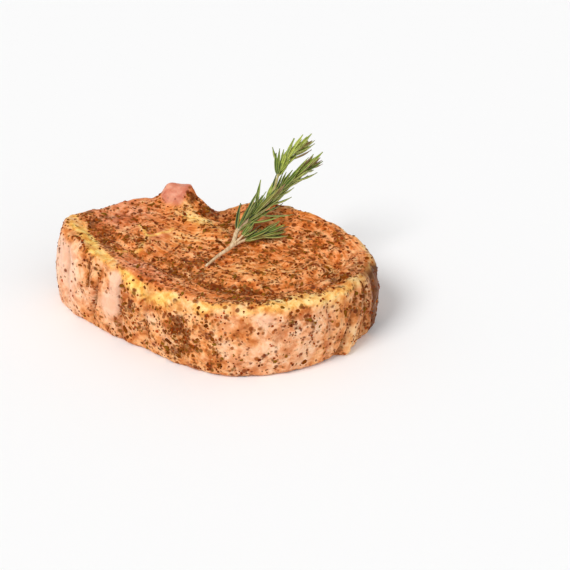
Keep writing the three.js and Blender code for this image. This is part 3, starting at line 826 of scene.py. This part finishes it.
# Slim and flat are shares of a crumb's length, crowding is a power on the amount of herbs, and
# solid is the solid's own crumbs of that kind.
Kind = namedtuple(
    "Kind",
    "name material roughness shape variants seed count crowding length slim flat solid",
    defaults=(None,),
)
SEASONING = [
    Kind("herb_flakes", "dried_herbs", 0.6, flake, 6, 3, 1300, 1.3, (0.9, 2.3), (0.45, 0.9),
         (0.12, 0.22), FLAKES),
    Kind("pepper", "cracked_pepper", 0.55, grain, 6, 4, 1800, 1, (1, 2), (0.7, 1), (0.25, 0.45),
         CRACKS),
    Kind("chilli", "chilli_flakes", 0.5, flake, 4, 5, 380, 1, (0.7, 1.7), (0.5, 0.9), (0.2, 0.35)),
    Kind("garlic", "dried_garlic", 0.5, grain, 4, 6, 420, 1, (0.5, 1.3), (0.6, 0.9), (0.4, 0.7)),
]


def crumbs_over(kind, surface, weights, rng):
    """Places, ways out, spins and sizes of crumbs laid over a surface by weight."""
    corners, normals, areas = surface
    count = kind.count
    chosen = rng.choice(len(areas), count, p=weights * areas / (weights * areas).sum())
    places = np.einsum("ij,ijk->ik", rng.dirichlet((1, 1, 1), count), corners[chosen])
    lengths = rng.uniform(*kind.length, count) * rng.uniform(*CRUMB.smaller, count)
    spins = rng.uniform(0, 2 * np.pi, count)
    for place, out, spin, length in zip(places, normals[chosen], spins, lengths):
        size = (length, length * rng.uniform(*kind.slim), length * rng.uniform(*kind.flat))
        yield Vector(place), Vector(out), spin, size


def scatter(kind, surface, herbs):
    """One mesh of all crumbs of a kind, the solid's own first."""
    rng = np.random.default_rng(kind.seed)
    shapes = [
        crumb_shape(kind.shape, rng.uniform(*CRUMB.bend), kind.seed * 31 + k)
        for k in range(kind.variants)
    ]
    laid = list(crumbs_over(kind, surface, herbs**kind.crowding, rng))
    own = list(solid_crumbs(kind.solid)) if kind.solid else []
    all_places, all_faces, used = [], [], 0
    for place, out, spin, size in own + laid:
        reach = size[0]
        if place.z < reach or sprig_tree.find(place)[2] < SPRIG_CLEARANCE + reach / 2:
            continue
        shape_places, shape_faces = shapes[rng.integers(kind.variants)]
        lengthwise, sideways = (rng.normal(0, spread) for spread in CRUMB.tilt)
        tilt = Quaternion((1, 0, 0), lengthwise) @ Quaternion((0, 1, 0), sideways)
        turn = Quaternion(out, spin) @ UP.rotation_difference(out) @ tilt
        turned = (shape_places * size) @ np.array(turn.to_matrix()).T
        all_places.append(turned + np.array(place + out * size[2] * PROUD))
        all_faces.append(shape_faces + used)
        used += len(shape_places)
    mesh = bpy.data.meshes.new(kind.name)
    mesh.from_pydata(np.concatenate(all_places).tolist(), [], np.concatenate(all_faces).tolist())
    material = dry_crumb(kind.material, kind.name, kind.roughness)
    finished(kind.name, mesh, material)


def surface_of(mesh, amount):
    """Corners, normals and areas of a mesh's triangles, and their share of a vertex amount."""
    mesh.calc_loop_triangles()
    count = len(mesh.loop_triangles)
    triangles = np.empty(count * 3, np.int32)
    mesh.loop_triangles.foreach_get("vertices", triangles)
    triangles = triangles.reshape(-1, 3)
    corners = coordinates(mesh)[triangles]
    cross = np.cross(corners[:, 1] - corners[:, 0], corners[:, 2] - corners[:, 0])
    doubled = np.linalg.norm(cross, axis=1)
    return (corners, cross / doubled[:, None], doubled / 2), amount[triangles].mean(1)


# ---- The sprig of rosemary ----

SPRIG_SEED = 6
GAP = 0.4  # air left between the sprig and the meat
# A line, radii at its start, fullest place and end, the shares of its length at which it is fullest
# and its needles start, then their pairs, lengths and spread in degrees.
Shoot = namedtuple("Shoot", "line radii fullest first pairs length spread")
BRANCHES = [
    Shoot([(-2, -16.3, 37.5), (4, -6.9, 38.3), (10.5, 1.3, 39.6), (13.7, 14.7, 42.4),
           (19.6, 20.3, 45.4), (25.8, 25.5, 48.7), (31.1, 30.6, 52)],
          (0.6, 1.15, 0.7), 0.36, 0.56, 8, (16, 21), (14, 40)),
    Shoot([(30.4, 30, 51.5), (32.7, 38.9, 55), (35.3, 50.5, 59.5), (39.6, 58.5, 63.5),
           (46.7, 64.9, 66.5)], (0.7, 0.75, 0.4), 0.1, 0.42, 9, (12, 18), (8, 40)),
    Shoot([(30.4, 30, 51.5), (37.5, 41.1, 54.5), (43.4, 47, 57), (50.5, 56.7, 59)],
          (0.65, 0.7, 0.4), 0.1, 0.06, 9, (14, 19), (8, 34)),
    Shoot([(9.9, 0.9, 39.4), (15.9, 6.6, 39.7), (20.4, 9.8, 39.9), (29, 12.6, 41)],
          (0.85, 0.9, 0.4), 0.1, 0.4, 7, (13, 18), (6, 38)),
    Shoot([(10.2, 1, 39.5), (14.9, 6.4, 41.5), (18.3, 10.3, 43.5)],
          (0.65, 0.7, 0.35), 0.1, 0.7, 2, (7, 11), (8, 24)),
]
NEEDLE = Sizes(width=1.7, thick=0.9, droop=0.1, bulge=0.05, rings=9, across=3)
# Its section: rolled edges, and a groove along the middle of the upper and lower side.
SECTION = Sizes(thin_edge=0.35, fall=0.28, upper=0.16, lower=0.1, sunk=0.5, fuller=1.15)
FACE_UP = 0.6  # how far a needle's flat side turns towards the sky
LAST_NEEDLES_AT = 0.985
TIP_SHORTER = 0.35  # share of their length that needles near the tip lose
TWIST = Sizes(start=0.5, jitter=0.35)
SPREAD_POWER = 1.6
LIFTS = (0, 1, 2, 4, 6)  # a needle that meets the meat is raised by one of these, or left out
# Young needles, in the scene alone, stay close to the stem.
YOUNG = Sizes(seed=21, each=5, spread=(3, 22), length=(0.5, 1.0), slim=0.75)
ROD = {"cap_ends": True, "segments": 14, "radius1": 1, "radius2": 1, "depth": 1}
STEM = Sizes(rings=44, knot=0.14, furrow=0.16, across=2.2, along=9)


class Branch:
    """A smooth line through points, as a centripetal Catmull-Rom spline."""

    def __init__(self, points):
        points = [np.array(p, float) for p in points]
        self.points = [2 * points[0] - points[1], *points, 2 * points[-1] - points[-2]]
        self.spans = len(points) - 1
        shares = np.linspace(0, 1, CURVE_SAMPLES)
        way = lengths_along([self.at(t) for t in shares])
        self.even = lambda u: np.interp(u * way[-1], way, shares)

    def at(self, t):
        i = min(int(t * self.spans), self.spans - 1)
        w = t * self.spans - i
        a, b, c, d = self.points[i : i + 4]
        ab, bc, cd = (max(np.linalg.norm(q - p) ** 0.5, STEP) for p, q in ((a, b), (b, c), (c, d)))
        into = ((b - a) / ab - (c - a) / (ab + bc) + (c - b) / bc) * bc
        off = ((c - b) / bc - (d - b) / (bc + cd) + (d - c) / cd) * bc
        return cubic(b, c, into, off, w)

    def ahead(self, t):
        low, high = max(0, t - STEP), min(1, t + STEP)
        return Vector(self.at(high) - self.at(low)).normalized()


class Arch:
    """A curve of a start, a middle and an end."""

    def __init__(self, start, middle, end):
        self.ends = [np.array(p, float) for p in (start, middle, end)]

    def at(self, t):
        a, b, c = self.ends
        return (1 - t) ** 2 * a + 2 * t * (1 - t) * b + t**2 * c

    def ahead(self, t):
        a, b, c = self.ends
        return Vector((1 - t) * (b - a) + t * (c - b)).normalized()


def bend_onto(shape, curve, side):
    """Moves a shape that stands along Z from 0 to 1 onto a curve, its X towards side."""
    for vertex in shape.verts:
        t = min(max(vertex.co.z, 0), 1)
        ahead = curve.ahead(t)
        up = ahead.cross(side).normalized()
        across = up.cross(ahead)
        vertex.co = Vector(curve.at(t)) + across * vertex.co.x + up * vertex.co.y


def on_end(make, rings, **sizes):
    """A form of height 1 that stands on the origin, with rings between its ends."""
    shape = bmesh.new()
    make(shape, **sizes)
    ops.translate(shape, verts=shape.verts, vec=(0, 0, 0.5))
    upright = edges_along(2, shape)
    ops.subdivide_edges(shape, edges=upright, cuts=rings, use_grid_fill=True)
    return shape


def stem_radius(branch, t):
    (start, full, end), fullest = branch.radii, branch.fullest
    if t < fullest:
        return start + (full - start) * t / fullest
    return full + (end - full) * (t - fullest) / (1 - fullest)


def stem_shape(curve, branch, knots, seed):
    """A stem swollen at its knots, with shallow furrows."""
    shape = on_end(ops.create_cone, STEM.rings, **ROD)
    for vertex in shape.verts:
        x, y, t = vertex.co
        furrow = Vector((x * STEM.across, y * STEM.across, t * STEM.along + seed))
        swell = 1 + STEM.knot * max(0, sin(t * knots * 2 * pi)) ** 6
        swell += STEM.furrow * noise.noise(furrow)
        vertex.co.x *= swell * stem_radius(branch, t)
        vertex.co.y *= swell * stem_radius(branch, t)
    bend_onto(shape, curve, UP)
    return shape


def needle_width(t):
    """A short stalk, a long blade and a narrow tip."""
    grown = 0.35 + 0.65 * smooth(t, 0, 0.3)
    return float(grown * (1 - 0.7 * smooth(t, 0.6, 1)))


def needle_shape(raised, root, way, length, off, side, slim):
    """A leaf, and how far along and across it each vertex is."""
    tip = root + way * length
    tip.z = max(tip.z, top_height(tip.x, tip.y)[0] + NEEDLE.width / 2 + GAP) + raised
    middle = (root + tip) / 2 + off * NEEDLE.bulge * length
    middle.z -= NEEDLE.droop * length * 0.5 - raised
    shape = on_end(ops.create_cube, NEEDLE.rings, size=1)
    crosswise = edges_along(0, shape)
    ops.subdivide_edges(shape, edges=crosswise, cuts=NEEDLE.across, use_grid_fill=True)
    laid = [(vertex.co.z, abs(vertex.co.x) * 2) for vertex in shape.verts]
    for vertex, (_, edge) in zip(shape.verts, laid):
        x, y, t = vertex.co
        wide = needle_width(t) * slim
        groove = SECTION.upper * (1 - edge) ** 2 if y > 0 else -SECTION.lower * (1 - edge)
        lift = -SECTION.fall * edge**2 - groove
        y = y * (1 - SECTION.thin_edge * edge) + lift * SECTION.sunk
        vertex.co.x = x * NEEDLE.width * wide
        vertex.co.y = y * NEEDLE.thick * wide * SECTION.fuller
    bend_onto(shape, Arch(root, middle, tip), side)
    return shape, laid


def clear_needle(meat, *needle):
    """A needle lifted as little as keeps it the gap off the meat, or none."""
    for raised in LIFTS:
        shape, laid = needle_shape(raised, *needle)
        lowered = shape.copy()
        ops.translate(lowered, verts=lowered.verts, vec=(0, 0, -GAP))
        if not BVHTree.FromBMesh(lowered).overlap(meat):
            return shape, laid
    return None


def sprouting(branch, i, roll, young):
    """Turn, spread, length and slimness of each needle at a place of a branch."""
    for half in (0, 1):
        crossed = pi / 2 * (i % 2)
        turn = TWIST.start + pi * half + crossed + TWIST.jitter * (2 * roll() - 1)
        narrow, wide = branch.spread
        spread = radians(narrow + (wide - narrow) * roll() ** SPREAD_POWER)
        yield turn, spread, between(roll, branch.length), 1
    for k in range(YOUNG.each):
        turn = 2 * pi * (k + young()) / YOUNG.each
        spread = radians(between(young, YOUNG.spread))
        length = between(young, branch.length) * between(young, YOUNG.length)
        yield turn, spread, length, YOUNG.slim


def needles_of(curve, branch, roll, young, meat):
    """Each needle of a branch, how its vertices lie, and its share of the way along."""
    for i in range(branch.pairs):
        share = branch.first + (LAST_NEEDLES_AT - branch.first) * i / (branch.pairs - 1)
        t = curve.even(share)
        ahead = curve.ahead(t)
        flat = UP.cross(ahead).normalized()
        shorter = 1 - TIP_SHORTER * float(smooth(share, 0.75, 1))
        for turn, spread, length, slim in sprouting(branch, i, roll, young):
            off = Quaternion(ahead, turn) @ flat
            root = Vector(curve.at(t)) + off * 0.5 * stem_radius(branch, share)
            way = ahead * cos(spread) + off * sin(spread)
            side = ahead.cross(off).normalized()
            level = UP.cross(way).normalized()
            side = side.lerp(-level if side.dot(level) < 0 else level, FACE_UP).normalized()
            made = clear_needle(meat, root, way, length * shorter, off, side, slim)
            if made:
                yield *made, share


def set_amount(mesh, name, amount):
    stored = mesh.attributes.new(name, "FLOAT", "POINT")
    stored.data.foreach_set("value", np.asarray(amount, np.float32))


def joined(name, shapes):
    """One mesh of many shapes, and how many vertices of it each has."""
    whole = bmesh.new()
    counts = []
    for shape in shapes:
        ops.recalc_face_normals(shape, faces=shape.faces)
        part = as_mesh("part", shape)
        whole.from_mesh(part)
        counts.append(len(part.vertices))
        bpy.data.meshes.remove(part)
    return as_mesh(name, whole), counts


def rosemary(meat):
    roll, young = dice(SPRIG_SEED), dice(YOUNG.seed)
    stems, needles = [], []
    for k, branch in enumerate(BRANCHES):
        line = []
        for i, (x, y, z) in enumerate(branch.line):
            radius = stem_radius(branch, i / (len(branch.line) - 1))
            line.append((x, y, max(z, top_height(x, y)[0] + radius + GAP)))
        curve = Branch(line)
        stems.append(stem_shape(curve, branch, 5 + len(line), k))
        needles.extend(needles_of(curve, branch, roll, young, meat))
    return stems, needles


# ---- Stage ----

AIM = Vector((0.038, 0.030, 0.0))
CAMERA = Sizes(away=0.735, elevation=30, lens=85, sensor=36, near=0.01)
FLOOR_HALF = 4
FLOOR = {"Base Color": (0.94, 0.94, 0.94, 1), "Roughness": 0.8}
SKY = 0.5
# Each sun: its place, softness in degrees and strength.
SUNS = {"key": ((-0.75, -0.7, 1.1), 28, 1.9), "fill": ((0.8, -0.8, 0.7), 60, 0.6)}


def add_camera():
    lens = bpy.data.cameras.new("camera")
    lens.lens = CAMERA.lens
    lens.sensor_width = CAMERA.sensor
    lens.clip_start = CAMERA.near
    camera = placed("camera", lens)
    raised = radians(CAMERA.elevation)
    camera.location = AIM + CAMERA.away * Vector((0, -cos(raised), sin(raised)))
    camera.rotation_euler = (pi / 2 - raised, 0, 0)
    bpy.context.scene.camera = camera


def add_stage():
    shape = bmesh.new()
    ops.create_grid(shape, x_segments=1, y_segments=1, size=FLOOR_HALF)
    floor = placed("floor", as_mesh("floor", shape))
    floor.data.materials.append(Finish("pale_floor", **FLOOR).material)
    world = bpy.data.worlds.new("studio")
    world.use_nodes = True
    sky = world.node_tree.nodes["Background"].inputs
    sky["Color"].default_value = (1, 1, 1, 1)
    sky["Strength"].default_value = SKY
    bpy.context.scene.world = world
    bpy.context.scene.view_settings.view_transform = "Standard"
    for name, (place, softness, strength) in SUNS.items():
        lamp = bpy.data.lights.new(name, "SUN")
        lamp.angle = radians(softness)
        lamp.energy = strength
        light = placed(name, lamp)
        light.location = place
        light.rotation_euler = Vector(place).to_track_quat("Z", "Y").to_euler()


# ---- Assembly ----

STRAY = 0.05  # the least amount of crumbs on meat that isn't bare
FACES_DOWN = -0.1  # upward part of a leaf's normal

add_camera()
add_stage()

mesh, zone = chop_mesh()
places = [Vector(p) for p in coordinates(mesh)]
meat_tree = BVHTree.FromPolygons(places, [tuple(p.vertices) for p in mesh.polygons])
stems, needles = rosemary(meat_tree)
shapes, laid, shares = zip(*needles)
stem_mesh, _ = joined("rosemary_stem", stems)
leaf_mesh, counts = joined("rosemary_leaves", shapes)
set_amount(leaf_mesh, "age", np.repeat(shares, counts))
for name, amount in zip(("tip", "edge"), np.concatenate(laid).T):
    set_amount(leaf_mesh, name, amount)
set_amount(leaf_mesh, "underside", [v.normal.z < FACES_DOWN for v in leaf_mesh.vertices])
sprig_places = [Vector(p) for part in (stem_mesh, leaf_mesh) for p in coordinates(part)]
sprig_tree = KDTree(len(sprig_places))
for i, place in enumerate(sprig_places):
    sprig_tree.insert(place, i)
sprig_tree.balance()

surface, herbs = surface_of(mesh, (zone["herbs"] + STRAY) * (1 - zone["bare"]))
finished("pork_chop", mesh, seasoned_meat(), node="chop")
for kind in SEASONING:
    scatter(kind, surface, herbs)
finished("rosemary_stem", stem_mesh, rosemary_stem(), node="rosemary_sprig")
finished("rosemary_leaves", leaf_mesh, rosemary_leaf(), node="rosemary_sprig")
